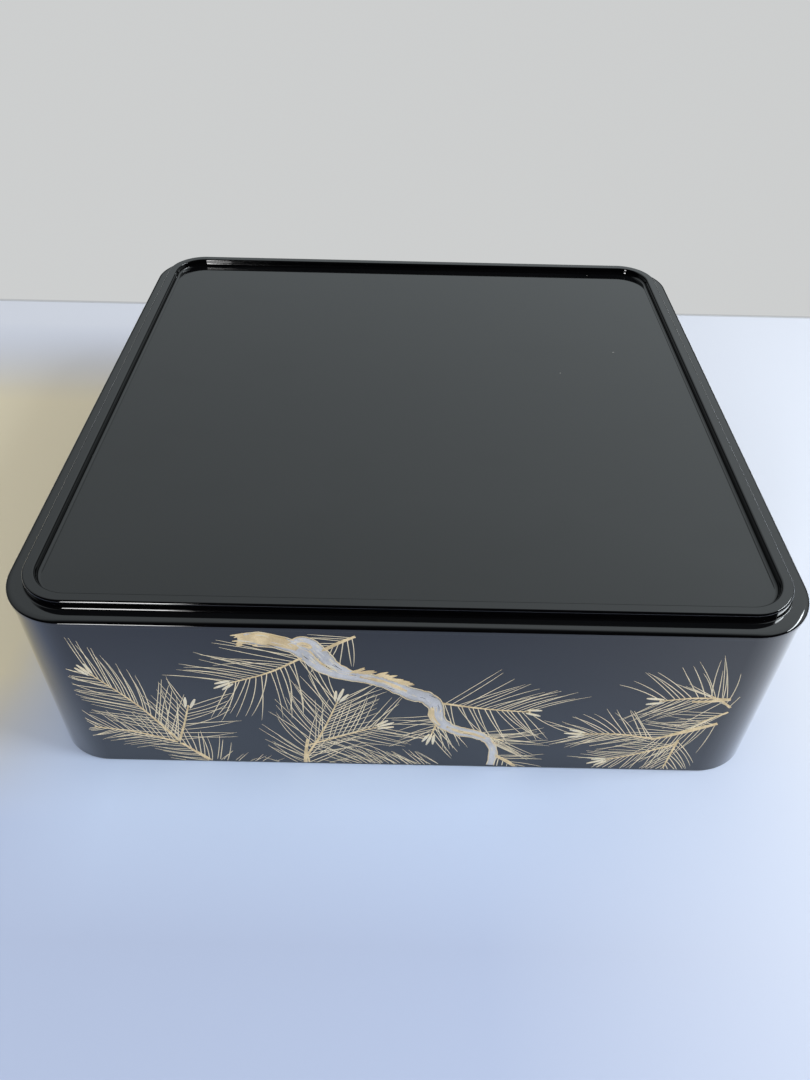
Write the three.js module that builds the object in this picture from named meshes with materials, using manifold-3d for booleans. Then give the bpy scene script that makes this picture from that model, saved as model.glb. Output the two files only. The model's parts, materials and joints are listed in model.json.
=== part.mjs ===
// A square lacquered food box, one tier high, with rounded corners and a lift-off lid.
// Millimetres, +Z up. The origin lies on the table under the middle of the box, and the
// decorated front faces -Y. The tier and the lid are built as joined woodwork under the
// lacquer: straight boards between rounded corner blocks, with a let-in board across.
import * as THREE from "three";
import { mergeVertices } from "three/addons/utils/BufferGeometryUtils.js";
import Module from "manifold-3d";

// Outline of the tier, seen from above
const SIDE = 200;
const CORNER_RADIUS = 17;
const CORNER_STEPS = 12;

// Heights on the outside
const LEDGE_HEIGHT = 58.5; // table to the ledge round the lid
const LID_EDGE = 1.5; // thickness of the lid's edge over the rim of the tier
const RING_HEIGHT = 2.7; // raised ring above the ledge
const FIELD_DROP = 2.4; // sunk field below the top of the ring

// Widths on top of the lid, inwards from the tier's outer face
const LEDGE_WIDTH = 4;
const LID_OVERHANG = 0.4; // how far the lid's edge stands out over the tier
const RING_WIDTH = 3.1;

// Tier
const STACK_CLEARANCE = 0.3; // between the ring and the walls of a box stacked on it
const WALL = LEDGE_WIDTH - STACK_CLEARANCE;
const FOOT_RECESS = 3.2; // table to the underside of the bottom board
const BOTTOM_THICKNESS = 3.8;
const GROOVE_DEPTH = 1.6; // how far the bottom board goes into the walls

// Lid
const LID_LIP_CLEARANCE = 0.3; // between the lid's lip and the mouth of the tier
const LIP_DEPTH = 4; // how far the lip reaches down into the mouth
const FRAME_WIDTH = 12; // lid frame, from the tier's outer face to its inner edge
const PANEL_THICKNESS = 3;

// Joinery hidden under the lacquer
const GLUE_GAP = 0.3; // round every let-in piece
const TONGUE_THICKNESS = 1.1;
const TONGUE_REACH = 3; // into the wall and into the corner block
const TONGUE_MARGIN = 4; // from the bottom board, and from the lid's lip, to the tongue

// Edge roundings
const LEDGE_EDGE_ROUND = 0.9;
const RISER_FILLET = 0.35; // where the ring rises from the ledge
const RING_OUTER_ROUND = 0.7;
const RING_INNER_ROUND = 0.5;
const SEAM_ROUND = 0.2; // both edges of the seam between lid and tier
const FOOT_ROUND = 0.5;
const MOUTH_ROUND = 0.6;
const LIP_ROUND = 0.6;
const ROUND_STEPS = 4;

// Levels and offsets that follow from the sizes above
const HALF = SIDE / 2;
const CORNER_CENTRE = HALF - CORNER_RADIUS;
const SEAM_Z = LEDGE_HEIGHT - LID_EDGE;
const RING_Z = LEDGE_HEIGHT + RING_HEIGHT;
const FIELD_Z = RING_Z - FIELD_DROP;
const SEAT_Z = FIELD_Z - PANEL_THICKNESS;
const LIP_Z = SEAM_Z - LIP_DEPTH;
const RING_INNER = LEDGE_WIDTH + RING_WIDTH;
const FLOOR_Z = FOOT_RECESS + BOTTOM_THICKNESS;
const TONGUE_BOTTOM = FLOOR_Z + TONGUE_MARGIN;
const TONGUE_TOP = LIP_Z - TONGUE_MARGIN;

// Colours
const LACQUER_BLACK = 0x17181a;
const LACQUER_RED = 0x9c2418;
const BARE_WOOD = 0xb98f5c;

const wasm = await Module();
wasm.setup();

function finish(color, roughness) {
  return new THREE.MeshStandardMaterial({ color, roughness, metalness: 0 });
}

const blackLacquer = finish(LACQUER_BLACK, 0.12);
const redLacquer = finish(LACQUER_RED, 0.2);
const bareWood = finish(BARE_WOOD, 0.7);

// Closed outline through corners [u, z, radius], each rounded or filleted by its radius.
function roundedOutline(corners) {
  const points = [];
  corners.forEach(([u, z, radius], i) => {
    const corner = new THREE.Vector2(u, z);
    if (radius === 0) {
      points.push(corner);
      return;
    }
    const before = corners[(i + corners.length - 1) % corners.length];
    const after = corners[(i + 1) % corners.length];
    const toBefore = new THREE.Vector2(before[0] - u, before[1] - z).normalize();
    const toAfter = new THREE.Vector2(after[0] - u, after[1] - z).normalize();
    const start = corner.clone().addScaledVector(toBefore, radius);
    const end = corner.clone().addScaledVector(toAfter, radius);
    const centre = start.clone().addScaledVector(toAfter, radius);
    points.push(start);
    for (let step = 1; step < ROUND_STEPS; step += 1) {
      const turn = (Math.PI / 2) * (step / ROUND_STEPS);
      const point = centre.clone();
      point.addScaledVector(toAfter, -radius * Math.cos(turn));
      point.addScaledVector(toBefore, -radius * Math.sin(turn));
      points.push(point);
    }
    points.push(end);
  });
  return points;
}

// Section of the tier's wall: u runs inwards from its outer face, z runs up.
function tierSection() {
  const grooveFloor = WALL - GROOVE_DEPTH;
  return roundedOutline([
    [0, 0, FOOT_ROUND],
    [WALL, 0, FOOT_ROUND],
    [WALL, FOOT_RECESS, 0],
    [grooveFloor, FOOT_RECESS, 0],
    [grooveFloor, FLOOR_Z, 0],
    [WALL, FLOOR_Z, 0],
    [WALL, SEAM_Z, MOUTH_ROUND],
    [0, SEAM_Z, SEAM_ROUND],
  ]);
}

// Section of the lid's frame: edge, ledge, raised ring, seat for the panel, and lip.
function lidSection() {
  const lipFace = WALL + LID_LIP_CLEARANCE;
  return roundedOutline([
    [-LID_OVERHANG, SEAM_Z, SEAM_ROUND],
    [lipFace, SEAM_Z, 0],
    [lipFace, LIP_Z, LIP_ROUND],
    [FRAME_WIDTH, LIP_Z, LIP_ROUND],
    [FRAME_WIDTH, SEAT_Z, 0],
    [RING_INNER, SEAT_Z, 0],
    [RING_INNER, RING_Z, RING_INNER_ROUND],
    [LEDGE_WIDTH, RING_Z, RING_OUTER_ROUND],
    [LEDGE_WIDTH, LEDGE_HEIGHT, RISER_FILLET],
    [-LID_OVERHANG, LEDGE_HEIGHT, LEDGE_EDGE_ROUND],
  ]);
}

// Solid swept along the tier's outer face. Each station is a point of that face, and the
// direction that leads inwards from it.
function sweep(section, stations) {
  const positions = [];
  const indices = [];
  const count = section.length;
  stations.forEach(({ x, y, inX, inY }) => {
    section.forEach((point) => {
      positions.push(x + inX * point.x, y + inY * point.x, point.y);
    });
  });
  for (let ring = 0; ring + 1 < stations.length; ring += 1) {
    for (let i = 0; i < count; i += 1) {
      const next = (i + 1) % count;
      const a = ring * count + i;
      const b = ring * count + next;
      indices.push(a, b, a + count, b, b + count, a + count);
    }
  }
  const last = (stations.length - 1) * count;
  THREE.ShapeUtils.triangulateShape(section, []).forEach(([a, b, c]) => {
    indices.push(a, c, b);
    indices.push(last + a, last + b, last + c);
  });
  const geometry = new THREE.BufferGeometry();
  geometry.setAttribute("position", new THREE.Float32BufferAttribute(positions, 3));
  geometry.setIndex(indices);
  return geometry;
}

// The front board: straight between the two front corner blocks.
function frontBoard(section) {
  const stations = [-CORNER_CENTRE, CORNER_CENTRE].map((x) => ({ x, y: -HALF, inX: 0, inY: 1 }));
  return sweep(section, stations);
}

// The front right corner block: a quarter turn from the front face to the right face.
function frontRightCorner(section) {
  const stations = [];
  for (let step = 0; step <= CORNER_STEPS; step += 1) {
    const angle = (Math.PI / 2) * (step / CORNER_STEPS);
    const outX = Math.sin(angle);
    const outY = -Math.cos(angle);
    stations.push({
      x: CORNER_CENTRE + CORNER_RADIUS * outX,
      y: -CORNER_CENTRE + CORNER_RADIUS * outY,
      inX: -outX,
      inY: -outY,
    });
  }
  return sweep(section, stations);
}

// Board with the box's own outline, set in by `inset` from the outer face.
function insetBoard(inset, bottom, thickness) {
  const half = HALF - inset;
  const radius = CORNER_RADIUS - inset;
  const outline = new THREE.Shape();
  outline.absarc(half - radius, -half + radius, radius, -Math.PI / 2, 0, false);
  outline.absarc(half - radius, half - radius, radius, 0, Math.PI / 2, false);
  outline.absarc(-half + radius, half - radius, radius, Math.PI / 2, Math.PI, false);
  outline.absarc(-half + radius, -half + radius, radius, Math.PI, Math.PI * 1.5, false);
  const geometry = new THREE.ExtrudeGeometry(outline, {
    depth: thickness,
    bevelEnabled: false,
    curveSegments: CORNER_STEPS,
  });
  return geometry.translate(0, 0, bottom);
}

function toSolid(geometry) {
  const bare = geometry.clone();
  bare.deleteAttribute("normal");
  bare.deleteAttribute("uv");
  const merged = mergeVertices(bare, 1e-4);
  return new wasm.Manifold(
    new wasm.Mesh({
      numProp: 3,
      vertProperties: merged.attributes.position.array,
      triVerts: new Uint32Array(merged.index.array),
    }),
  );
}

function toGeometry(solid) {
  const mesh = solid.getMesh();
  const geometry = new THREE.BufferGeometry();
  geometry.setAttribute("position", new THREE.BufferAttribute(mesh.vertProperties, 3));
  geometry.setIndex(new THREE.BufferAttribute(mesh.triVerts, 1));
  geometry.computeVertexNormals();
  return geometry;
}

function cut(geometry, cutters) {
  const solid = cutters.reduce((rest, cutter) => rest.subtract(toSolid(cutter)), toSolid(geometry));
  return toGeometry(solid);
}

// Loose tongue across the joint at the right end of the front board, grown by `gap`
// all round when it stands for the slot that takes it.
function rightTongue(gap) {
  const size = new THREE.Vector3(
    2 * (TONGUE_REACH + gap),
    TONGUE_THICKNESS + 2 * gap,
    TONGUE_TOP - TONGUE_BOTTOM + 2 * gap,
  );
  const geometry = new THREE.BoxGeometry(size.x, size.y, size.z);
  return geometry.translate(CORNER_CENTRE, -HALF + WALL / 2, (TONGUE_TOP + TONGUE_BOTTOM) / 2);
}

function leftTongue(gap) {
  return rightTongue(gap).translate(-2 * CORNER_CENTRE, 0, 0);
}

// The joint at the corner block's other end is the left one of the board on its right.
function tongueRoundCorner(gap) {
  return leftTongue(gap).rotateZ(Math.PI / 2);
}

const SIDES = ["front", "right", "back", "left"];
const CORNERS = ["front_right", "back_right", "back_left", "front_left"];

function piece(name, geometry, material, quarterTurns = 0) {
  const mesh = new THREE.Mesh(geometry, material);
  mesh.name = name;
  mesh.rotation.z = quarterTurns * (Math.PI / 2);
  return mesh;
}

// The tier: four walls, four corner blocks, eight loose tongues and the bottom board.
function buildTier() {
  const tier = new THREE.Group();
  const section = tierSection();
  const wall = cut(frontBoard(section), [rightTongue(GLUE_GAP), leftTongue(GLUE_GAP)]);
  const block = cut(frontRightCorner(section), [rightTongue(GLUE_GAP), tongueRoundCorner(GLUE_GAP)]);
  SIDES.forEach((side, turns) => {
    tier.add(piece(`${side}_wall`, wall, blackLacquer, turns));
    tier.add(piece(`${side}_wall_tongue_a`, leftTongue(0), bareWood, turns));
    tier.add(piece(`${side}_wall_tongue_b`, rightTongue(0), bareWood, turns));
  });
  CORNERS.forEach((corner, turns) => {
    tier.add(piece(`${corner}_corner_block`, block, blackLacquer, turns));
  });
  const edge = WALL - GROOVE_DEPTH + GLUE_GAP;
  tier.add(piece("bottom_board", insetBoard(edge, FOOT_RECESS, BOTTOM_THICKNESS), redLacquer));
  return tier;
}

// The lid: four rails and four corner pieces that carry edge, ledge, ring and lip, with
// the flat panel let in inside the ring.
function buildLid() {
  const lid = new THREE.Group();
  const section = lidSection();
  SIDES.forEach((side, turns) => {
    lid.add(piece(`lid_${side}_rail`, frontBoard(section), blackLacquer, turns));
  });
  CORNERS.forEach((corner, turns) => {
    lid.add(piece(`lid_${corner}_corner`, frontRightCorner(section), blackLacquer, turns));
  });
  const panel = insetBoard(RING_INNER + GLUE_GAP, SEAT_Z, PANEL_THICKNESS);
  lid.add(piece("lid_panel", panel, blackLacquer));
  return lid;
}

const foodBox = new THREE.Group();
foodBox.add(buildTier(), buildLid());

export default foodBox;
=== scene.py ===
"""A square lacquered food box with a lift-off lid, dressed over its own woodwork.

Black lacquer closes over the joints of tier and lid, red lacquer lines the inside, and a pine
branch in gilt and silver runs round the walls. Lengths are in metres, +Z is up, and the front
faces -Y.
"""

import json
import math
import random

import bpy
from bpy.props import FloatProperty, FloatVectorProperty, IntProperty, PointerProperty
from mathutils import Matrix, Vector


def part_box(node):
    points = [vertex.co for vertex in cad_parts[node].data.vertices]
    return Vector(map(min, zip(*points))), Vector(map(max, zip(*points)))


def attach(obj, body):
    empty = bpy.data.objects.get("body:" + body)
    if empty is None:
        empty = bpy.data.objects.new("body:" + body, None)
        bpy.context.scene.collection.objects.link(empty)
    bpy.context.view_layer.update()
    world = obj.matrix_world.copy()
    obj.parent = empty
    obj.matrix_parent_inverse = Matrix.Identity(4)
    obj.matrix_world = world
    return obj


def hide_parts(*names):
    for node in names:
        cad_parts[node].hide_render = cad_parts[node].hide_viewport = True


bl_info = {
    "name": "Lacquered Food Box",
    "version": (1, 0, 0),
    "blender": (4, 5, 0),
    "location": "3D View > Sidebar > Food Box",
    "description": "Lacquers a square food box and its lid, and draws a pine branch on the walls",
    "category": "Add Mesh",
}

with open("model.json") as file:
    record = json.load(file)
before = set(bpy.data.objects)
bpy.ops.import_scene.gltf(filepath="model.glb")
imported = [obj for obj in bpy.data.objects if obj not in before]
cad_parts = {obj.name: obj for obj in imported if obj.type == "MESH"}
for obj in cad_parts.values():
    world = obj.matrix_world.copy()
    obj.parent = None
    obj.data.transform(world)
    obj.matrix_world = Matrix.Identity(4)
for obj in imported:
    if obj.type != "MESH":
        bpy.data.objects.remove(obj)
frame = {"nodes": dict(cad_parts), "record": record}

# Levels and insets of the woodwork, read off its own pieces. An inset is counted inwards
# from the tier's outer face.
WALL_LOW, WALL_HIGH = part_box("front_wall")
RAIL_LOW, RAIL_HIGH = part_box("lid_front_rail")
FLOOR_LOW, FLOOR_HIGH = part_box("bottom_board")
PANEL_LOW, PANEL_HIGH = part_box("lid_panel")
HALF = -WALL_LOW.y
OVERHANG = -RAIL_LOW.y - HALF  # how far the lid's edge stands out over the tier
CORNER_RADIUS = HALF - WALL_HIGH.x
WALL = WALL_HIGH.y + HALF
FRAME_INSET = RAIL_HIGH.y + HALF
SEAM_Z = WALL_HIGH.z
RING_Z = RAIL_HIGH.z
LIP_Z = RAIL_LOW.z
GLUE_GAP = 0.0003  # between the panel and its seat
LIP_CLEARANCE = 0.0003  # between the lid's lip and the tier's mouth
RING_INSET = PANEL_LOW.y + HALF - GLUE_GAP
FIELD_Z = PANEL_HIGH.z

BLACK_SLOT = "black_lacquer"
GILT_SLOT = "gilt"
SILVER_SLOT = "silver"

TONGUES = [name for name in frame["nodes"] if "tongue" in name]
TIER_WOOD = [name for name in frame["record"]["behaviour"]["bodies"]["tier"] if name not in TONGUES]
LID_WOOD = list(frame["record"]["behaviour"]["bodies"]["lid"])


class LacquerSettings(bpy.types.PropertyGroup):
    """Sizes and colours of the lacquer on tier and lid."""

    ledge_width: FloatProperty(
        name="Ledge width", description="Outer face to the foot of the raised ring",
        default=0.004, unit="LENGTH", precision=5,
    )
    ledge_height: FloatProperty(
        name="Ledge height", description="Table to the ledge round the lid",
        default=0.0585, unit="LENGTH", precision=5,
    )
    edge_roll: FloatProperty(
        name="Edge roll", description="How far the ledge rolls off towards its outer edge",
        default=0.0016, unit="LENGTH", precision=5,
    )
    edge_drop: FloatProperty(
        name="Edge drop", description="How far that roll goes down the outer face",
        default=0.0006, unit="LENGTH", precision=5,
    )
    ring_round: FloatProperty(
        name="Ring round", description="Radius of the ring's outer edge",
        default=0.0006, unit="LENGTH", precision=5,
    )
    ring_inner_round: FloatProperty(
        name="Ring inner round", description="Radius of the ring's inner edge",
        default=0.0006, unit="LENGTH", precision=5,
    )
    ring_cove: FloatProperty(
        name="Ring cove", description="Radius where the ring runs into the field",
        default=0.0010, unit="LENGTH", precision=5,
    )
    fillet: FloatProperty(
        name="Fillet", description="Lacquer that fills each inner corner outside",
        default=0.0005, unit="LENGTH", precision=5,
    )
    seam_round: FloatProperty(
        name="Seam round", description="Radius of both edges of the seam",
        default=0.00010, unit="LENGTH", precision=5,
    )
    foot_round: FloatProperty(
        name="Foot round", description="Radius of the edges that the box stands on",
        default=0.0005, unit="LENGTH", precision=5,
    )
    mouth_round: FloatProperty(
        name="Mouth round", description="Radius of the tier's inner rim",
        default=0.0006, unit="LENGTH", precision=5,
    )
    cove: FloatProperty(
        name="Cove", description="Radius where the walls run into the floor inside",
        default=0.002, unit="LENGTH", precision=5,
    )
    lining: FloatProperty(
        name="Lining", description="Thickness of the red coats inside",
        default=0.00012, unit="LENGTH", precision=5,
    )
    black: FloatVectorProperty(
        name="Black", description="Colour of the outer coats",
        default=(0.0006, 0.0006, 0.0008, 1), subtype="COLOR", size=4, min=0, max=1,
    )
    film: FloatVectorProperty(
        name="Film", description="Colour of the dust film on top",
        default=(0.0033, 0.0035, 0.0040, 1), subtype="COLOR", size=4, min=0, max=1,
    )
    red: FloatVectorProperty(
        name="Red", description="Colour of the coats inside",
        default=(0.36, 0.024, 0.012, 1), subtype="COLOR", size=4, min=0, max=1,
    )
    dust: FloatVectorProperty(
        name="Dust", description="Colour of the specks of dust",
        default=(0.32, 0.31, 0.29, 1), subtype="COLOR", size=4, min=0, max=1,
    )
    wood: FloatVectorProperty(
        name="Wood", description="Colour of the bare wood",
        default=(0.46, 0.29, 0.14, 1), subtype="COLOR", size=4, min=0, max=1,
    )


class BranchSettings(bpy.types.PropertyGroup):
    """Sizes and colours of the pine branch on the walls."""

    needle_width: FloatProperty(
        name="Needle width", description="Width of a needle",
        default=0.00047, unit="LENGTH", precision=5,
    )
    needle_spacing: FloatProperty(
        name="Needle spacing", description="From needle to needle on one side of a twig",
        default=0.00150, unit="LENGTH", precision=5,
    )
    twig_width: FloatProperty(
        name="Twig width", description="Width of a twig at its foot",
        default=0.00095, unit="LENGTH", precision=5,
    )
    relief: FloatProperty(
        name="Relief", description="Height of a needle over the lacquer",
        default=0.00004, unit="LENGTH", precision=6,
    )
    corner_reach: FloatProperty(
        name="Corner reach", description="How far the branch runs on round a corner",
        default=0.0030, unit="LENGTH", precision=5,
    )
    pale_gilt: FloatVectorProperty(
        name="Pale gilt", description="Colour of needles and outlines",
        default=(0.67, 0.58, 0.40, 1), subtype="COLOR", size=4, min=0, max=1,
    )
    gilt: FloatVectorProperty(
        name="Gilt", description="Colour of twigs and gilt bark",
        default=(0.66, 0.52, 0.30, 1), subtype="COLOR", size=4, min=0, max=1,
    )
    old_gilt: FloatVectorProperty(
        name="Old gilt", description="Colour of their dull patches",
        default=(0.50, 0.38, 0.21, 1), subtype="COLOR", size=4, min=0, max=1,
    )
    silver: FloatVectorProperty(
        name="Silver", description="Colour of the bark",
        default=(0.50, 0.50, 0.51, 1), subtype="COLOR", size=4, min=0, max=1,
    )
    bright_silver: FloatVectorProperty(
        name="Bright silver", description="Colour of buds and lit streaks",
        default=(0.62, 0.57, 0.44, 1), subtype="COLOR", size=4, min=0, max=1,
    )
    seed: IntProperty(
        name="Seed", description="Picks the spread of the needles",
        default=7, min=0,
    )


class StageSettings(bpy.types.PropertyGroup):
    """Floor, light and camera."""

    floor: FloatVectorProperty(
        name="Floor", description="Colour of the table top",
        default=(0.44, 0.51, 0.69, 1), subtype="COLOR", size=4, min=0, max=1,
    )
    backdrop: FloatVectorProperty(
        name="Backdrop", description="Colour behind the table top",
        default=(0.61, 0.62, 0.62, 1), subtype="COLOR", size=4, min=0, max=1,
    )
    shaded_floor: FloatVectorProperty(
        name="Shaded floor", description="Colour of the table top in the box's shadow",
        default=(0.74, 0.68, 0.51, 1), subtype="COLOR", size=4, min=0, max=1,
    )
    # Painted light: a glow on the table top just before the front, which also lifts the box's shade there
    painted_near_light: FloatVectorProperty(
        name="Near floor", description="Colour of the table top close before the front",
        default=(0.57, 0.68, 0.90, 1), subtype="COLOR", size=4, min=0, max=1,
    )
    lit_floor: FloatVectorProperty(
        name="Lit floor", description="Colour of the table top on the window's side",
        default=(0.70, 0.74, 0.83, 1), subtype="COLOR", size=4, min=0, max=1,
    )
    mirrored: FloatVectorProperty(
        name="Mirrored wall", description="Colour of the wall that polished pieces mirror",
        default=(0.545, 0.60, 0.62, 1), subtype="COLOR", size=4, min=0, max=1,
    )
    table_edge: FloatProperty(
        name="Table edge", description="From the box's middle to the far edge of the table top",
        default=0.173, unit="LENGTH",
    )
    sky: FloatVectorProperty(
        name="Even light", description="Colour of the light from all round",
        default=(0.56, 0.55, 0.54, 1), subtype="COLOR", size=4, min=0, max=1,
    )
    window: FloatVectorProperty(
        name="Window light", description="Colour of every lamp but the tall one",
        default=(0.90, 0.96, 1.0), subtype="COLOR", min=0, max=1,
    )
    window_power: FloatProperty(
        name="Window power", description="Power of the soft lamp on the right",
        default=4.5, unit="POWER", min=0,
    )
    fill_power: FloatProperty(
        name="Fill power", description="Power of the soft lamp in front",
        default=2.6, unit="POWER", min=0,
    )
    pane_power: FloatProperty(
        name="Pane power", description="Power of the window as polished pieces mirror it",
        default=4.0, unit="POWER", min=0,
    )
    strip_power: FloatProperty(
        name="Strip power", description="Power of the tall lamp in front on the left",
        default=9.0, unit="POWER", min=0,
    )
    camera_place: FloatVectorProperty(
        name="Camera place", description="Where the camera stands",
        default=(-0.00194, -0.23232, 0.20844), subtype="TRANSLATION", precision=5,
    )
    camera_yaw: FloatProperty(
        name="Camera yaw", description="Turn to the right",
        default=math.radians(0.306), subtype="ANGLE",
    )
    camera_pitch: FloatProperty(
        name="Camera pitch", description="Tilt below the horizon",
        default=math.radians(42.56), subtype="ANGLE",
    )
    camera_roll: FloatProperty(
        name="Camera roll", description="Roll round the line of sight",
        default=math.radians(1.399), subtype="ANGLE",
    )
    camera_lens: FloatProperty(
        name="Camera lens", description="Focal length on a 36 mm long side",
        default=27.98, unit="CAMERA",
    )


# Profiles and shells

CORNER_STEPS = 24
ROUND_STEPS = 8
CAP_INSET = 0.015  # the middle of every shell is closed inside this inset


def profile(corners):
    """Points and normals along a path of (inset, z, radius) corners, rounded where they turn.

    The path keeps the solid on its left, so the normal points to its right. A radius may be a
    pair, how far the rounding reaches back before the corner and on behind it.
    """
    places = [Vector((inset, z)) for inset, z, _ in corners]
    points = []
    for i, (_, _, radius) in enumerate(corners):
        before = (places[i] - places[max(i - 1, 0)]).normalized()
        after = (places[min(i + 1, len(places) - 1)] - places[i]).normalized()
        if radius == 0:
            along = after if i == 0 else before
            points.append((places[i], Vector((along.y, -along.x))))
            continue
        back, on = radius if isinstance(radius, tuple) else (radius, radius)
        centre = places[i] - back * before + on * after
        side = 1 if before.x * after.y - before.y * after.x > 0 else -1
        for step in range(ROUND_STEPS + 1):
            turn = math.pi / 2 * step / ROUND_STEPS
            spot = centre + back * math.sin(turn) * before - on * math.cos(turn) * after
            normal = on * math.sin(turn) * before - back * math.cos(turn) * after
            points.append((spot, side * normal.normalized()))
    return points


def rim_loop(inset):
    """Points round the box at an inset, each with the direction that leads outwards."""
    radius = CORNER_RADIUS - inset
    centre = HALF - CORNER_RADIUS
    loop = []
    for quarter in range(4):
        first = quarter * math.pi / 2
        middle = first + math.pi / 4
        hub = Vector((math.copysign(centre, math.cos(middle)), math.copysign(centre, math.sin(middle))))
        for step in range(CORNER_STEPS + 1):
            angle = first + math.pi / 2 * step / CORNER_STEPS
            outwards = Vector((math.cos(angle), math.sin(angle)))
            loop.append((hub + radius * outwards, outwards))
    return loop


def shell(name, corners, material, body):
    """A closed shell whose profile runs once round the box, with its middle filled in."""
    vertices, normals, faces = [], [], []
    points = profile(corners)
    for place, normal in points:
        for spot, outwards in rim_loop(place.x):
            vertices.append((spot.x, spot.y, place.y))
            normals.append((-normal.x * outwards.x, -normal.x * outwards.y, normal.y))
    around = len(vertices) // len(points)
    for row in range(len(points) - 1):
        for i in range(around):
            j = (i + 1) % around
            low, high = row * around, (row + 1) * around
            faces.append((low + i, high + i, high + j, low + j))
    faces.append(tuple(range(around)))
    faces.append(tuple(reversed(range(len(vertices) - around, len(vertices)))))
    return add_piece(name, vertices, faces, material, body, normals)


def add_piece(name, vertices, faces, material, body, normals=None):
    """A smooth mesh that rides on a body and takes the material it is given."""
    mesh = bpy.data.meshes.new(name)
    mesh.from_pydata(vertices, [], faces)
    mesh.validate()
    mesh.shade_smooth()
    if normals:
        mesh.normals_split_custom_set_from_vertices(normals)
    mesh.materials.append(material)
    piece = bpy.data.objects.new(name, mesh)
    bpy.context.scene.collection.objects.link(piece)
    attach(piece, body)
    return piece


# Materials

def new_node(tree, kind, inputs=None, **settings):
    """A node with its settings and input values, or links where an input is a socket."""
    node = tree.nodes.new(kind)
    for name, value in settings.items():
        setattr(node, name, value)
    for key, value in (inputs or {}).items():
        if isinstance(value, bpy.types.NodeSocket):
            tree.links.new(value, node.inputs[key])
        else:
            node.inputs[key].default_value = value
    return node


def surface(name):
    """A new material, its node tree, its shader and the coordinates of the surface."""
    material = bpy.data.materials.new(name)
    material.use_nodes = True
    tree = material.node_tree
    coordinates = new_node(tree, "ShaderNodeTexCoord").outputs["Object"]
    return material, tree, tree.nodes["Principled BSDF"], coordinates


def noise(tree, coordinates, scale, detail=3.0, stretch=(1, 1, 1)):
    """Soft noise, `scale` patches to the metre, drawn out along the axes by `stretch`."""
    mapping = new_node(tree, "ShaderNodeMapping", {"Vector": coordinates, "Scale": stretch})
    return new_node(
        tree, "ShaderNodeTexNoise", {"Vector": mapping.outputs[0], "Scale": scale, "Detail": detail}
    ).outputs[0]


def remap(tree, value, low, high, to_low, to_high):
    """The value moved from one range to another, and held at its ends."""
    return new_node(
        tree,
        "ShaderNodeMapRange",
        {"Value": value, "From Min": low, "From Max": high, "To Min": to_low, "To Max": to_high},
    ).outputs[0]


def multiply(tree, a, b):
    """The product of two values."""
    return new_node(tree, "ShaderNodeMath", {0: a, 1: b}, operation="MULTIPLY").outputs[0]


def mix(tree, share, a, b):
    """Colour a where share is 0 and colour b where it is 1."""
    return new_node(tree, "ShaderNodeMix", {0: share, 6: a, 7: b}, data_type="RGBA").outputs[2]


def ripple(tree, height, shader, strength, depth):
    """Bumps of a given depth in metres on a shader."""
    bump = new_node(tree, "ShaderNodeBump", {"Height": height, "Strength": strength, "Distance": depth})
    tree.links.new(bump.outputs[0], shader.inputs["Normal"])


def specks(tree, coordinates, spacing, size, share):
    """Small round specks, one in each cell of the spacing, in a share of the cells."""
    cells = new_node(tree, "ShaderNodeTexVoronoi", {"Vector": coordinates, "Scale": 1 / spacing})
    near = remap(tree, cells.outputs["Distance"], size / spacing, 0.6 * size / spacing, 0.0, 1.0)
    pick = new_node(tree, "ShaderNodeSeparateColor", {"Color": cells.outputs["Color"]}).outputs[0]
    chosen = new_node(tree, "ShaderNodeMath", {0: pick, 1: share}, operation="LESS_THAN").outputs[0]
    return multiply(tree, near, chosen)


def darker(colour, share):
    """A colour at a share of its brightness."""
    return [share * value for value in colour[:3]] + [1.0]


def shared(name, make, settings):
    """The material of that name, made at its first use."""
    return bpy.data.materials.get(name) or make(settings)


def black_lacquer(settings):
    """Polished black lacquer under a clear last coat, with a thin film of dust and fingermarks
    on what faces up."""
    material, tree, shader, coordinates = surface("polished_black")
    geometry = new_node(tree, "ShaderNodeNewGeometry")
    facing = new_node(tree, "ShaderNodeSeparateXYZ", {"Vector": geometry.outputs["Normal"]}).outputs[2]
    topside = remap(tree, facing, 0.93, 1.0, 0.0, 1.0)
    marks = noise(tree, coordinates, scale=34.0, detail=4.0, stretch=(1.0, 1.5, 1.0))
    film = multiply(tree, topside, remap(tree, marks, 0.30, 0.46, 0.6, 1.0))
    coats = mix(tree, film, settings.black, settings.film)
    dust = multiply(tree, specks(tree, coordinates, spacing=0.010, size=0.00026, share=0.20), topside)
    tree.links.new(mix(tree, dust, coats, settings.dust), shader.inputs["Base Color"])
    smudges = noise(tree, coordinates, scale=16.0, detail=4.0, stretch=(1.0, 1.7, 1.0))
    shine = remap(tree, smudges, 0.4, 0.7, 0.05, 0.13)
    rough = new_node(tree, "ShaderNodeMath", {0: shine, 1: multiply(tree, dust, 0.6)}, operation="ADD")
    tree.links.new(rough.outputs[0], shader.inputs["Roughness"])
    shader.inputs["IOR"].default_value = 1.5
    shader.inputs["Specular IOR Level"].default_value = 0.25
    shader.inputs["Coat Weight"].default_value = 1.0
    shader.inputs["Coat Roughness"].default_value = 0.025
    ripple(tree, noise(tree, coordinates, scale=260.0, detail=2.0), shader, strength=0.12, depth=0.00004)
    return material


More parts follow.
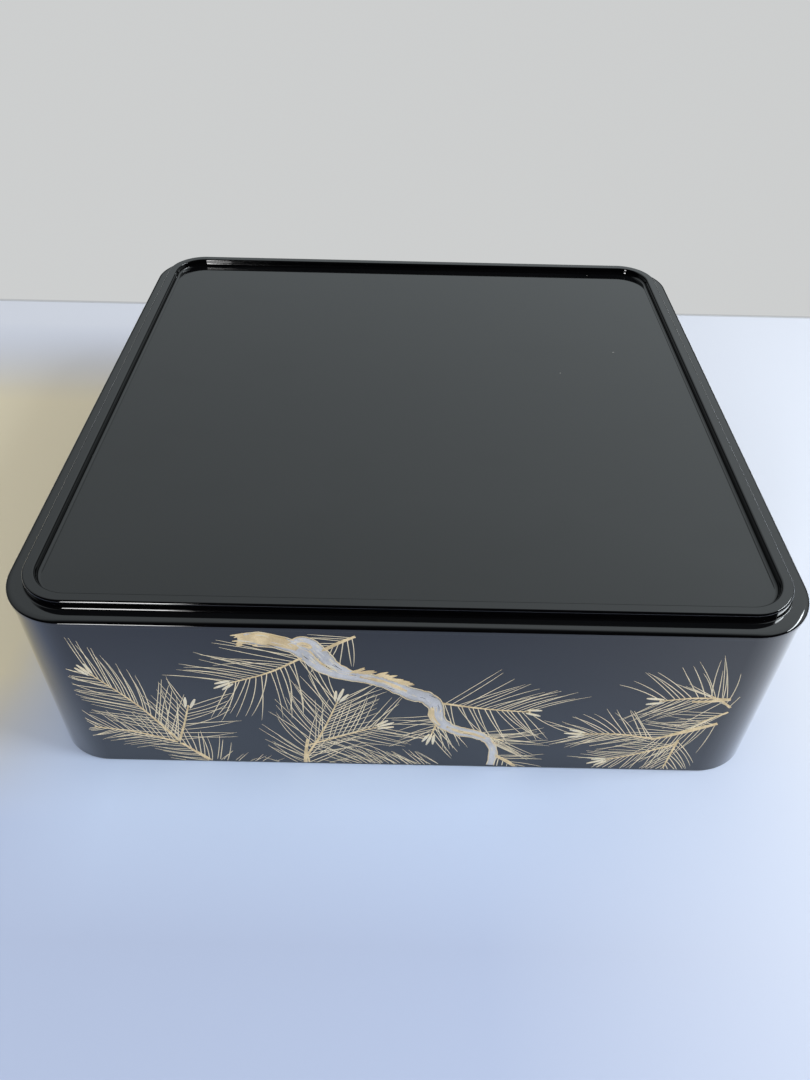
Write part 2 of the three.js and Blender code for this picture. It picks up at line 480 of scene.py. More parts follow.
def red_lacquer(settings):
    """Vermilion lacquer, a little softer than the black, with the last strokes of the brush."""
    material, tree, shader, coordinates = surface("vermilion")
    strokes = noise(tree, coordinates, scale=40.0, detail=4.0, stretch=(0.4, 6.0, 1.0))
    shade = remap(tree, strokes, 0.3, 0.7, 0.0, 1.0)
    red = mix(tree, shade, darker(settings.red, 0.72), settings.red)
    tree.links.new(red, shader.inputs["Base Color"])
    tree.links.new(remap(tree, strokes, 0.3, 0.7, 0.16, 0.26), shader.inputs["Roughness"])
    shader.inputs["IOR"].default_value = 1.5
    ripple(tree, strokes, shader, strength=0.15, depth=0.0001)
    return material


def bare_wood(settings):
    """Planed softwood with its grain upright, as in the tongues."""
    material, tree, shader, coordinates = surface("tongue_wood")
    grain = noise(tree, coordinates, scale=300.0, detail=5.0, stretch=(4.0, 4.0, 0.15))
    shade = remap(tree, grain, 0.35, 0.65, 0.0, 1.0)
    wood = mix(tree, shade, darker(settings.wood, 0.55), settings.wood)
    tree.links.new(wood, shader.inputs["Base Color"])
    tree.links.new(remap(tree, grain, 0.3, 0.7, 0.55, 0.75), shader.inputs["Roughness"])
    ripple(tree, grain, shader, strength=0.4, depth=0.0002)
    return material


def metal_powder(name, light, dark, patch_scale, metallic=0.1):
    """Sprinkled metal powder under thin lacquer, in patches of two colours, with a fine grain."""
    material, tree, shader, coordinates = surface(name)
    patches = remap(tree, noise(tree, coordinates, patch_scale, detail=3.0), 0.42, 0.58, 0.0, 1.0)
    grain = noise(tree, coordinates, scale=5200.0, detail=2.0)
    body = mix(tree, patches, dark, light)
    sparkle = remap(tree, grain, 0.3, 0.7, 0.82, 1.12)
    shaded = new_node(tree, "ShaderNodeHueSaturation", {"Color": body, "Value": sparkle})
    tree.links.new(shaded.outputs[0], shader.inputs["Base Color"])
    tree.links.new(remap(tree, grain, 0.3, 0.7, 0.34, 0.52), shader.inputs["Roughness"])
    shader.inputs["Metallic"].default_value = metallic
    ripple(tree, grain, shader, strength=0.3, depth=0.00003)
    return material


# Pine branch. Places on a wall are (across, up) in millimetres: across from the wall's middle,
# up from the table.

MM = 0.001
BRANCH_LOW = 0.0006  # the branch is cut off where the foot begins to round
BRANCH_HIGH = SEAM_Z - 0.0004
STROKE_SINK = 0.00004  # how deep a stroke's edges lie in the lacquer

# How high strokes stand, in needle reliefs
TWIG_RISE = 1.6
STEM_RISE = 1.8
BARK_RISE = 2.0
SPLINTER_RISE = 2.2
SCALE_RISE = 2.4
BUD_RISE = 2.4
PATCH_RISE = 2.6

# Needles along a tuft, with t from 0 at its foot to 1 at its tip
NEEDLE_STEPS = 12
SPREAD_LOSS = 0.36  # share of its spread that a tuft loses towards its tip
LENGTH_LOSS = 0.2  # share of its length that a needle loses towards the tip

# Lobes of a bud, in millimetres where nothing else is said
LOBE_LENGTH = 5.2
OUTER_LOBE_LOSS = 1.8
LOBE_GAP = 1.3
LOBE_SINK = 1.2
LOBE_FAN = 9  # degrees for each lobe
LOBE_WIDTH = 0.00110  # metres

# Streaks on a limb: part, number for each place of the limb, breadth in millimetres, rise
STREAKS = (
    ("lit", 1.6, (0.3, 0.8), 3.0),
    ("lines", 0.5, (0.2, 0.4), 3.2),
    ("cracks", 0.5, (0.12, 0.26), 3.4),
)
EDGE_LANE = 0.47  # where a limb's outline runs, in widths from its middle
LIMB_STEPS = 12
ROUGHNESS = 0.48  # how far a limb's width strays, in millimetres
SPLINTERS = 14
SPLINTER_WIDTH = 0.0017
SCALE_CLUSTERS = (0.335, 0.395, 0.435)  # shares of the way along the limb
SCALES_IN_CLUSTER = 4
SCALE_WIDTH = 0.0013

# A limb is its middle line, its widths, and its patches of gilt bark: first and last share of
# the way along it, lane across it and share of its width.
FRONT_LIMBS = [
    (
        [
            (-41, 53.7), (-36, 53.5), (-31, 52.4), (-26.5, 49.8), (-24, 46), (-20.8, 42.2), (-16, 40.2),
            (-11, 39.5), (-6, 37.8), (-1.8, 35.3), (1.8, 33), (5.4, 31.6), (7.9, 28), (8.4, 23.5),
            (10.6, 19.8), (14.6, 17.2), (19.2, 15.8), (22.8, 13), (24.7, 7.5), (24.2, -1),
        ],
        [2.8, 5.4, 5.2, 4.6, 3.4, 2.8, 3.2, 3.8, 4.2, 4.8, 5.2, 5.0, 4.5, 4.1, 3.9, 3.8, 3.4, 2.8, 2.2, 1.9],
        [
            (0.0, 0.155, 0.02, 1.0), (0.36, 0.50, 0.05, 0.5), (0.63, 0.73, -0.25, 0.45),
            (0.745, 0.88, 0.0, 0.5),
        ],
    ),
    (
        [(-29, 51.8), (-25, 52.4), (-22.0, 49.9), (-19.4, 45.8), (-16.2, 42.5), (-12, 40.6)],
        [2.4, 4.8, 4.4, 3.6, 2.9, 1.4],
        [(0.1, 0.34, -0.1, 0.6)],
    ),
]
FRONT_TWIGS = [
    [(-51, -4), (-55, 1), (-61.5, 9)],
    [(-21, 49.5), (-16.5, 52.8), (-12.6, 55.2)],
    [(83.6, 33.6), (79, 32.6), (74, 32.2)],
    [(83, 23), (76.7, 19.4), (67, 15)],
    [(24.8, 6.5), (28.4, 3.4), (33, -1)],
    [(-27.9, 0), (-27.4, 6), (-26.6, 12)],
]
# Foot, tip, needle length, spread in degrees to the left and to the right, lobes of the bud
FRONT_TUFTS = [
    ((-62, 10), (-80.5, 39.5), 19, (54, 42), 3),
    ((-62.5, 9.5), (-84, 16), 12, (44, 52), 0),
    ((-62, 10), (-57, 26.5), 17, (56, 72), 2),
    ((-51, -4), (-62, 9), 14, (58, 52), 0),
    ((-56, -6), (-41, -5), 14, (66, 8), 0),
    ((-25, 47.5), (-45.5, 36), 22, (74, 56), 3),
    ((-27.6, 3), (-17.4, 30.5), 21, (62, 50), 3),
    ((-27.5, -4), (-27.2, 6), 16, (74, 70), 0),
    ((-27, 9), (-6.6, 18.8), 20, (60, 64), 3),
    ((-12.6, 55.2), (-21, 49.6), 12, (58, 44), 0),
    ((9, 22), (7, 14.4), 15, (58, 76), 3),
    ((9.4, 25), (8, 17.5), 15, (40, 72), 0),
    ((9.6, 29.4), (33, 26.4), 20, (52, 70), 2),
    ((83.6, 33.6), (65.5, 32.2), 18, (48, 78), 2),
    ((84.5, 30), (78, 35), 14, (10, 64), 0),
    ((84.5, 28), (78, 23), 13, (12, 40), 0),
    ((83, 23), (68, 15.4), 15, (60, 40), 0),
    ((68, 15.4), (47.5, 17), 15, (40, 54), 3),
    ((74, 13), (55.5, 4.6), 13, (50, 44), 3),
    ((74.4, 15), (73, -2), 12, (52, 48), 0),
    ((20, 14.4), (25.6, 11.5), 17, (48, 12), 0),
    ((18, 16.5), (27, 13), 15, (30, 24), 0),
    ((10, -3), (-12, 0.5), 14, (20, 56), 0),
    ((24.8, 6.5), (33, -1), 12, (44, 60), 0),
    ((17, -5), (-15, -4), 18, (8, 44), 0),
]
SIDE_LIMBS = [
    (
        [
            (84, 32), (76, 34.5), (68, 33), (60, 28), (52, 22), (43, 19.4), (34, 21), (26, 20), (18, 14),
            (11, 7), (7, 0),
        ],
        [2.4, 3.6, 3.4, 3.8, 3.2, 3.6, 3.0, 3.2, 2.6, 2.3, 2.0],
        [(0.0, 0.12, 0.1, 0.7), (0.36, 0.5, 0.1, 0.6), (0.68, 0.8, -0.15, 0.5)],
    ),
    ([(66, 27), (58, 29), (52, 25), (47, 20)], [1.2, 2.2, 2.0, 1.2], [(0.3, 0.6, 0.1, 0.5)]),
]
SIDE_TWIGS = [
    [(52, 24), (45, 33), (40, 42)],
    [(-83, 12), (-72, 15), (-62, 15)],
    [(-40, 0), (-36, 9), (-30, 15)],
]
SIDE_TUFTS = [
    ((50, 26), (33, 47), 17, (56, 54), 3),
    ((32, 22), (10, 38), 17, (56, 54), 3),
    ((22, 19), (-4, 21), 16, (52, 56), 3),
    ((66, 27), (62, 8), 15, (52, 48), 2),
    ((45, 19), (38, 6), 14, (50, 52), 2),
    ((-83, 12), (-55, 15.5), 16, (54, 54), 3),
    ((-40, 1), (-26, 26), 17, (56, 56), 3),
    ((-39, 2), (-58, 6), 14, (46, 40), 0),
    ((74, 35), (82, 48), 14, (60, 50), 0),
    ((10, 7), (-10, 4), 14, (50, 40), 0),
]


def in_metres(places):
    """Places given in millimetres, as points in metres."""
    return [Vector(place) * MM for place in places]


def smooth_path(places, steps):
    """A path through the places with `steps` points to each stretch, without sharp turns."""
    ends = [2 * places[0] - places[1], *places, 2 * places[-1] - places[-2]]
    path = []
    for a, b, c, d in zip(ends, ends[1:], ends[2:], ends[3:]):
        for step in range(steps):
            t = step / steps
            slope = (c - a) * t
            curve = (2 * a - 5 * b + 4 * c - d) * t * t
            twist = (3 * b - a - 3 * c + d) * t**3
            path.append(0.5 * (2 * b + slope + curve + twist))
    path.append(places[-1])
    return path


def heading(path, i):
    """The path's direction at one of its points."""
    return (path[min(i + 1, len(path) - 1)] - path[max(i - 1, 0)]).normalized()


def beside(path, offset_at):
    """The path moved to its left by an offset that may change along it."""
    moved = []
    for i, place in enumerate(path):
        along = heading(path, i)
        moved.append(place + Vector((-along.y, along.x)) * offset_at(i / (len(path) - 1)))
    return moved


def along_list(values, t):
    """The value at a share t of the way through a list, blended between neighbours."""
    spot = t * (len(values) - 1)
    i = min(int(spot), len(values) - 2)
    return values[i] + (values[i + 1] - values[i]) * (spot - i)


# Sections of a stroke, as (side, rise) from edge to edge
RIDGE = ((-1, 0), (0, 1), (1, 0))
DOME = ((-1, 0), (-0.6, 0.8), (0, 1), (0.6, 0.8), (1, 0))


class WallDrawing:
    """Raised strokes gathered on one wall, later made into one mesh."""

    def __init__(self, quarter_turns, mirrored, corner_reach):
        self.turn = Matrix.Rotation(quarter_turns * math.pi / 2, 3, "Z")
        self.mirror = -1 if mirrored else 1
        self.flat = HALF - CORNER_RADIUS
        self.reach = self.flat + corner_reach
        self.vertices = []
        self.faces = []

    def inside(self, place):
        """True where the branch may be drawn."""
        return abs(place.x) <= self.reach and BRANCH_LOW <= place.y <= BRANCH_HIGH

    def world(self, place, height):
        """A place on the wall, raised by a height, in the box's own frame. Beyond the flat wall
        it follows the corner."""
        angle = math.copysign(max(abs(place.x) - self.flat, 0) / CORNER_RADIUS, place.x)
        across = min(max(place.x, -self.flat), self.flat) + (CORNER_RADIUS + height) * math.sin(angle)
        outwards = self.flat + (CORNER_RADIUS + height) * math.cos(angle)
        return self.turn @ Vector((self.mirror * across, -outwards, place.y))

    def stroke(self, path, width_at, height, domed=False):
        """One closed stroke along each part of the path that lies where the branch may be drawn."""
        runs, run = [], []
        for i, place in enumerate(path):
            if self.inside(place):
                run.append(i)
            elif run:
                runs.append(run)
                run = []
        runs.append(run)
        section = DOME if domed else RIDGE
        for run in runs:
            if len(run) > 1:
                self.sweep(path, run, width_at, height, section)

    def sweep(self, path, run, width_at, height, section):
        """A ring of points across the stroke at each place of the run, joined and closed."""
        first = len(self.vertices)
        count = len(section)
        for i in run:
            along = heading(path, i)
            across = Vector((-along.y, along.x))
            half_width = width_at(i / (len(path) - 1)) / 2
            for side, rise in section:
                place = path[i] + across * (side * half_width)
                place.y = min(max(place.y, BRANCH_LOW), BRANCH_HIGH)
                self.vertices.append(self.world(place, rise * height - (1 - rise) * STROKE_SINK))
        for row in range(len(run) - 1):
            for k in range(count):
                a = first + row * count + k
                b = first + row * count + (k + 1) % count
                self.add_face((a, b, b + count, a + count))
        last = first + (len(run) - 1) * count
        self.add_face(tuple(first + k for k in reversed(range(count))))
        self.add_face(tuple(last + k for k in range(count)))

    def add_face(self, face):
        """A face, turned over on a mirrored wall so that it still looks outwards."""
        self.faces.append(face if self.mirror > 0 else tuple(reversed(face)))

    def piece(self, name, material, slot):
        """The strokes as one piece on the tier."""
        return add_piece(name, self.vertices, self.faces, material, "tier")


def draw_needle(drawing, chance, foot, angle, bend, length, settings):
    """One needle: it leaves its foot at an angle, bends on its way and thins at its tip."""
    path = [foot]
    for step in range(NEEDLE_STEPS):
        turned = angle + bend * (step + 0.5) / NEEDLE_STEPS
        path.append(path[-1] + Vector((math.cos(turned), math.sin(turned))) * (length / NEEDLE_STEPS))
    width = settings.needle_width * chance.uniform(0.85, 1.15)
    drawing.stroke(path, lambda t: width * (1 - 0.7 * t**4), settings.relief)


def draw_tuft(needles, stems, buds, chance, tuft, settings):
    """A twig with needles on both sides, spread wide at its foot and narrow at its tip."""
    foot, tip = in_metres(tuft[:2])
    length, spreads, lobes = tuft[2] * MM, tuft[3], tuft[4]
    along = tip - foot
    sag = Vector((-along.y, along.x)) * chance.uniform(-0.06, 0.06)
    twig = smooth_path([foot, foot + along * 0.5 + sag, tip], 10)
    stem_width = settings.twig_width
    stems.stroke(twig, lambda t: stem_width * (1 - 0.5 * t), settings.relief * TWIG_RISE, domed=True)
    for side, spread in zip((1, -1), spreads):
        count = max(round(along.length / settings.needle_spacing), 5)
        for i in range(count):
            t = (i + chance.uniform(0.3, 0.7)) / count
            place = along_list(twig, t)
            turned = heading(twig, round(t * (len(twig) - 1)))
            axis = math.atan2(turned.y, turned.x)
            angle = math.radians(spread) * (1 - SPREAD_LOSS * t) * chance.uniform(0.86, 1.14)
            bend = -side * chance.uniform(-0.18, 0.46) * math.radians(min(spread, 60))
            reach = length * chance.uniform(0.84, 1.06) * (1 - LENGTH_LOSS * t)
            draw_needle(needles, chance, place, axis + side * angle, bend, reach, settings)
    if lobes:
        draw_bud(buds, chance, tip, math.atan2(along.y, along.x), lobes, settings)


def draw_bud(buds, chance, place, axis, lobes, settings):
    """A bud: a narrow fan of long full lobes."""
    along = Vector((math.cos(axis), math.sin(axis)))
    across = Vector((-along.y, along.x))

    def width_at(t):
        return LOBE_WIDTH * math.sin(math.pi * (0.12 + 0.74 * t))

    for lobe in range(lobes):
        share = lobe / (lobes - 1) - 0.5
        angle = axis + math.radians(LOBE_FAN * lobes) * share + chance.uniform(-0.05, 0.05)
        length = (LOBE_LENGTH - OUTER_LOBE_LOSS * abs(share)) * MM * chance.uniform(0.9, 1.1)
        foot = place + (across * share * LOBE_GAP - along * LOBE_SINK) * MM
        reach = Vector((math.cos(angle), math.sin(angle))) * length
        path = [foot + reach * (step / 8) for step in range(9)]
        buds.stroke(path, width_at, settings.relief * BUD_RISE, domed=True)


def draw_limb(parts, chance, places, widths, patches, settings):
    """A limb: silver bark with patches of gilt, ragged edges drawn in gilt, and streaks of lit
    bark and cracks."""
    path = smooth_path(in_metres(places), LIMB_STEPS)
    rough = [chance.uniform(-ROUGHNESS, ROUGHNESS) for _ in range(4 * len(places))]
    last = len(path) - 1

    def width_at(t):
        return (along_list(widths, t) + along_list(rough, t)) * MM

    parts["bark"].stroke(path, width_at, settings.relief * BARK_RISE, domed=True)
    for start, end, lane, share in patches:
        first = round(start * last)
        run = path[first:round(end * last) + 1]

        def full_width(t):
            return width_at((first + t * (len(run) - 1)) / last)

        def patch_width(t):
            return share * full_width(t) * math.sin(math.pi * (0.08 + 0.84 * t)) ** 0.4

        patch = beside(run, lambda t: lane * full_width(t))
        parts["gilt_bark"].stroke(patch, patch_width, settings.relief * PATCH_RISE, domed=True)
    for side in (-1, 1):
        edge = beside(path, lambda t: side * EDGE_LANE * width_at(t))
        parts["lines"].stroke(edge, lambda t: settings.needle_width, settings.relief * PATCH_RISE)
    for kind, count, breadths, rise in STREAKS:
        for _ in range(round(count * len(places))):
            i = chance.randrange(len(path) - 9)
            lane = chance.uniform(-0.34, 0.34)
            drift = chance.uniform(-0.12, 0.12)
            run = path[i:i + chance.randrange(5, 10)]
            width = width_at(i / last)
            breadth = chance.uniform(*breadths) * MM

            def streak_width(t):
                return breadth * math.sin(math.pi * (0.06 + 0.88 * t))

            streak = beside(run, lambda t: (lane + drift * t) * width)
            parts[kind].stroke(streak, streak_width, settings.relief * rise, domed=True)


def draw_snags(bark, chance, places, widths, settings):
    """Splinters at the limb's broken end, and small scales of bark that stand off its back."""
    path = smooth_path(in_metres(places), LIMB_STEPS)

    def snag(root, reach, width_at, rise):
        bent = smooth_path([root, root + reach * 0.5, root + reach], 4)
        bark.stroke(bent, width_at, settings.relief * rise, domed=True)

    out = -heading(path, 2)
    for _ in range(SPLINTERS):
        root = path[chance.randrange(2, 12)] + Vector((0, chance.uniform(-2.4, 2.0))) * MM
        reach = out * chance.uniform(1.2, 3.4) * MM + Vector((0, chance.uniform(-1.4, 0.6))) * MM
        snag(root, reach, lambda t: SPLINTER_WIDTH * (1 - 0.85 * t), SPLINTER_RISE)
    for cluster in SCALE_CLUSTERS:
        for k in range(SCALES_IN_CLUSTER):
            t = cluster + 0.01 * k
            i = round(t * (len(path) - 1))
            along = heading(path, i)
            across = Vector((-along.y, along.x))
            root = path[i] + across * 0.4 * along_list(widths, t) * MM
            reach = (along * chance.uniform(2.2, 4.0) + across * chance.uniform(1.2, 2.6)) * MM
            snag(root, reach, lambda t: SCALE_WIDTH * math.sin(math.pi * (0.2 + 0.75 * t)), SCALE_RISE)


def draw_wall(side, turns, mirrored, limbs, twigs, tufts, materials, settings):
    """The whole branch on one wall: needles, twigs, bark, its outlines, cracks and buds."""
    chance = random.Random(settings.seed * 100 + turns)
    names = ("needles", "twigs", "bark", "gilt_bark", "lines", "lit", "cracks", "buds")
    parts = {name: WallDrawing(turns, mirrored, settings.corner_reach) for name in names}
    for tuft in tufts:
        draw_tuft(parts["needles"], parts["twigs"], parts["buds"], chance, tuft, settings)

    def stem_width(t):
        return settings.twig_width * (1.5 - 0.5 * t)

    for twig in twigs:
        path = smooth_path(in_metres(twig), 8)
        parts["twigs"].stroke(path, stem_width, settings.relief * STEM_RISE, domed=True)
    for places, widths, patches in limbs:
        draw_limb(parts, chance, places, widths, patches, settings)
    draw_snags(parts["gilt_bark"], chance, *limbs[0][:2], settings)
    slots = {"bark": SILVER_SLOT, "lit": SILVER_SLOT, "buds": SILVER_SLOT, "cracks": BLACK_SLOT}
    for name, drawing in parts.items():
        drawing.piece(f"{side}_pine_{name}", materials[name], slots.get(name, GILT_SLOT))


class FOODBOX_OT_tier(bpy.types.Operator):
    """Lacquer the tier: black outside, red inside"""

    bl_idname = "foodbox.tier"
    bl_label = "Tier"

    def execute(self, context):
        s = context.scene.food_box_lacquer
        floor = FLOOR_HIGH.z
        outside = [
            (CAP_INSET, floor, 0),
            (WALL, floor, s.cove * 0.5),
            (WALL, SEAM_Z, s.mouth_round),
            (0, SEAM_Z, s.seam_round),
            (0, 0, s.foot_round),
            (WALL, 0, s.foot_round),
            (WALL, FLOOR_LOW.z, s.fillet),
            (CAP_INSET, FLOOR_LOW.z, 0),
        ]
        lacquer = shared("polished_black", black_lacquer, s)
        black = shell("tier_black_lacquer", outside, lacquer, "tier")
        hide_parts(*TIER_WOOD)
        top = SEAM_Z - 2 * s.mouth_round
        inside = [
            (CAP_INSET, floor + s.lining, 0),
            (WALL + s.lining, floor + s.lining, s.cove),
            (WALL + s.lining, top, s.lining),
            (WALL - s.lining, top, s.lining * 0.5),
            (WALL - s.lining, floor - s.lining, s.lining * 0.5),
            (CAP_INSET, floor - s.lining, 0),
        ]
        shell("tier_red_lacquer", inside, shared("vermilion", red_lacquer, s), "tier")
        return {"FINISHED"}


class FOODBOX_OT_lid(bpy.types.Operator):
    """Lacquer the lid: black edge, ledge, ring and field, red underneath"""

    bl_idname = "foodbox.lid"
    bl_label = "Lid"

    def execute(self, context):
        s = context.scene.food_box_lacquer
        field = FIELD_Z
        under = PANEL_LOW.z
        lip_inset = WALL + LIP_CLEARANCE
        outside = [
            (CAP_INSET, field, 0),
            (RING_INSET, field, s.ring_cove),
            (RING_INSET, RING_Z, s.ring_inner_round),
            (s.ledge_width, RING_Z, s.ring_round),
            (s.ledge_width, s.ledge_height, s.fillet),
            (-OVERHANG, s.ledge_height, (s.edge_roll, s.edge_drop)),
            (-OVERHANG, SEAM_Z, s.seam_round),
            (lip_inset, SEAM_Z, s.fillet),
            (lip_inset, LIP_Z, s.mouth_round),
            (FRAME_INSET, LIP_Z, s.mouth_round),
            (FRAME_INSET, under, s.fillet),
            (CAP_INSET, under, 0),
        ]
        lacquer = shared("polished_black", black_lacquer, s)
        black = shell("lid_black_lacquer", outside, lacquer, "lid")
        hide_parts(*LID_WOOD)
        low = LIP_Z + 1.5 * s.mouth_round
        inside = [
            (CAP_INSET, under + s.lining, 0),
            (FRAME_INSET - s.lining, under + s.lining, s.lining * 0.5),
            (FRAME_INSET - s.lining, low, s.lining * 0.5),
            (FRAME_INSET + s.lining, low, s.lining),
            (FRAME_INSET + s.lining, under - s.lining, s.fillet),
            (CAP_INSET, under - s.lining, 0),
        ]
        shell("lid_red_lacquer", inside, shared("vermilion", red_lacquer, s), "lid")
        return {"FINISHED"}


class FOODBOX_OT_joinery(bpy.types.Operator):
    """Give the loose tongues inside the wall joints their bare wood"""

    bl_idname = "foodbox.joinery"
    bl_label = "Joinery"

    def execute(self, context):
        wood = bare_wood(context.scene.food_box_lacquer)
        for name in TONGUES:
            tongue = frame["nodes"][name]
            tongue.data.materials.clear()
            tongue.data.materials.append(wood)
        return {"FINISHED"}


class FOODBOX_OT_branch(bpy.types.Operator):
    """Draw the pine branch in gilt and silver on the four walls"""

    bl_idname = "foodbox.branch"
    bl_label = "Pine branch"

    def execute(self, context):
        s = context.scene.food_box_branch
        materials = {
            "needles": metal_powder("pale_gilt", s.pale_gilt, darker(s.pale_gilt, 0.86), 160.0),
            "twigs": metal_powder("gilt", s.gilt, s.old_gilt, 420.0),
            "bark": metal_powder("silver_bark", s.silver, darker(s.silver, 0.8), 220.0, metallic=0.15),
            "gilt_bark": metal_powder("gilt_bark", s.gilt, s.old_gilt, 160.0),
            "lines": metal_powder("outline_gilt", s.pale_gilt, s.gilt, 300.0),
            "lit": metal_powder("silver", s.bright_silver, s.silver, 300.0),
            "cracks": shared("polished_black", black_lacquer, context.scene.food_box_lacquer),
            "buds": metal_powder("bright_silver", s.bright_silver, s.pale_gilt, 500.0),
        }
        draw_wall("front", 0, False, FRONT_LIMBS, FRONT_TWIGS, FRONT_TUFTS, materials, s)
        draw_wall("right", 1, False, SIDE_LIMBS, SIDE_TWIGS, SIDE_TUFTS, materials, s)
        draw_wall("back", 2, True, FRONT_LIMBS, FRONT_TWIGS, FRONT_TUFTS, materials, s)
        draw_wall("left", 3, True, SIDE_LIMBS, SIDE_TWIGS, SIDE_TUFTS, materials, s)
        return {"FINISHED"}


# Lamps: where each stands, what it is turned to, and its width and height
WINDOW_LAMP = (0.62, -0.16, 0.52), (0, 0, 0.03), (0.35, 0.35)
FILL_LAMP = (-0.10, -0.90, 0.90), (0, 0, 0.03), (0.50, 0.50)
PANE_LAMP = (1.045, 0.22, 0.956), (0.088, -0.09, 0.06), (0.90, 0.08)
STRIP_LAMP = (-0.51, -1.38, 0.30), (0, -0.1, 0.05), (0.20, 0.85)


class FOODBOX_OT_stage(bpy.types.Operator):
    """Set the pale floor, the soft light and the camera"""

    bl_idname = "foodbox.stage"
    bl_label = "Stage"

    def execute(self, context):
        s = context.scene.food_box_stage
        add_floor(s)
        light_world(context.scene, s)
        add_lamp("window", *WINDOW_LAMP, s.window_power, s.window, in_mirrors=False)
        add_lamp("fill", *FILL_LAMP, s.fill_power, s.window, in_mirrors=False)
        add_lamp("pane", *PANE_LAMP, s.pane_power, s.window, on_surfaces=False)
        add_lamp("strip", *STRIP_LAMP, s.strip_power, (1, 1, 1))
        add_camera(context.scene, s)
        context.scene.view_settings.view_transform = "Standard"
        return {"FINISHED"}


FLOOR_REACH = 3.0
FLOOR_LEVEL = -0.00002
# Painted shade and light on the table top: the box's shadow on the left, window light on the right
# and at the back on the left, and a painted glow before the front. Each with its soft edges: axis (0
# across, 1 away from the camera), where the tint starts, where it is full, and its least share
FLOOR_TINTS = (
    (
        "shaded_floor",
        ((0, -0.085, -0.125, 0), (0, -0.40, -0.25, 0), (1, 0.150, 0.080, 0), (1, -0.120, -0.070, 0)),
    ),
    ("lit_floor", ((0, 0.02, 0.14, 0), (1, -0.25, -0.09, 0.45))),
    ("lit_floor", ((0, -0.07, -0.11, 0), (1, 0.09, 0.15, 0))),
    # painted light just before the front
    ("painted_near_light", ((1, -0.150, -0.105, 0), (0, -0.12, -0.08, 0), (0, 0.12, 0.02, 0))),
)
# A painted line of shade along the far edge of the table top, this wide
EDGE_SHADE_WIDTH = 0.0024  # dark line at the far edge of the table top
DARK_ROOM = (0.01, 0.01, 0.01, 1)
DARK_CEILING = (0.012, 0.012, 0.013, 1)


def add_floor(settings):
    """A pale floor, a hair below the foot of the box, that turns to the backdrop's colour beyond the far
    edge of the table top. Painted shade lies on it where the box's shadow falls, painted light on the
    window's side, at the back on the left and before the front, and a painted line of shade along the
    far edge. Polished pieces mirror a dark room before its near edge."""
    mesh = bpy.data.meshes.new("floor")
    turns = ((-1, -1), (1, -1), (1, 1), (-1, 1))
    corners = [(x * FLOOR_REACH, y * FLOOR_REACH, FLOOR_LEVEL) for x, y in turns]
    mesh.from_pydata(corners, [], [(0, 1, 2, 3)])
    material, tree, shader, coordinates = surface("floor_paint")
    axes = new_node(tree, "ShaderNodeSeparateXYZ", {"Vector": coordinates})
    y = axes.outputs[1]
    mottle = noise(tree, coordinates, scale=3.0, detail=3.0)
    paint = mix(tree, mottle, darker(settings.floor, 0.97), settings.floor)
    for colour, edges in FLOOR_TINTS:
        share = 1.0
        for axis, start, full, least in edges:
            share = multiply(tree, share, remap(tree, axes.outputs[axis], start, full, least, 1.0))
        paint = mix(tree, share, paint, getattr(settings, colour))
    edge = settings.table_edge
    beyond = remap(tree, y, edge, edge + 0.002, 0.0, 1.0)
    far = mix(tree, beyond, paint, settings.backdrop)
    # painted shade: the dark line along the far edge of the table top
    edge_shade = new_node(tree, "ShaderNodeMath", {0: y, 1: edge + 0.001, 2: EDGE_SHADE_WIDTH / 2}, operation="COMPARE")
    far = mix(tree, multiply(tree, edge_shade.outputs[0], 0.35), far, darker(settings.backdrop, 0.35))
    ray = new_node(tree, "ShaderNodeLightPath")
    before = remap(tree, y, -0.30, -0.36, 0.0, 1.0)
    dark = multiply(tree, before, ray.outputs["Is Glossy Ray"])
    tree.links.new(mix(tree, dark, far, DARK_ROOM), shader.inputs["Base Color"])
    shader.inputs["Roughness"].default_value = 0.6
    shader.inputs["Specular IOR Level"].default_value = 0.2
    glow = new_node(tree, "ShaderNodeEmission", {"Color": far, "Strength": 1.0})
    seen = multiply(tree, beyond, ray.outputs["Is Camera Ray"])
    whole = new_node(tree, "ShaderNodeMixShader", {0: seen, 1: shader.outputs[0], 2: glow.outputs[0]})
    tree.links.new(whole.outputs[0], tree.nodes["Material Output"].inputs["Surface"])
    mesh.materials.append(material)
    floor = bpy.data.objects.new("floor", mesh)
    bpy.context.scene.collection.objects.link(floor)


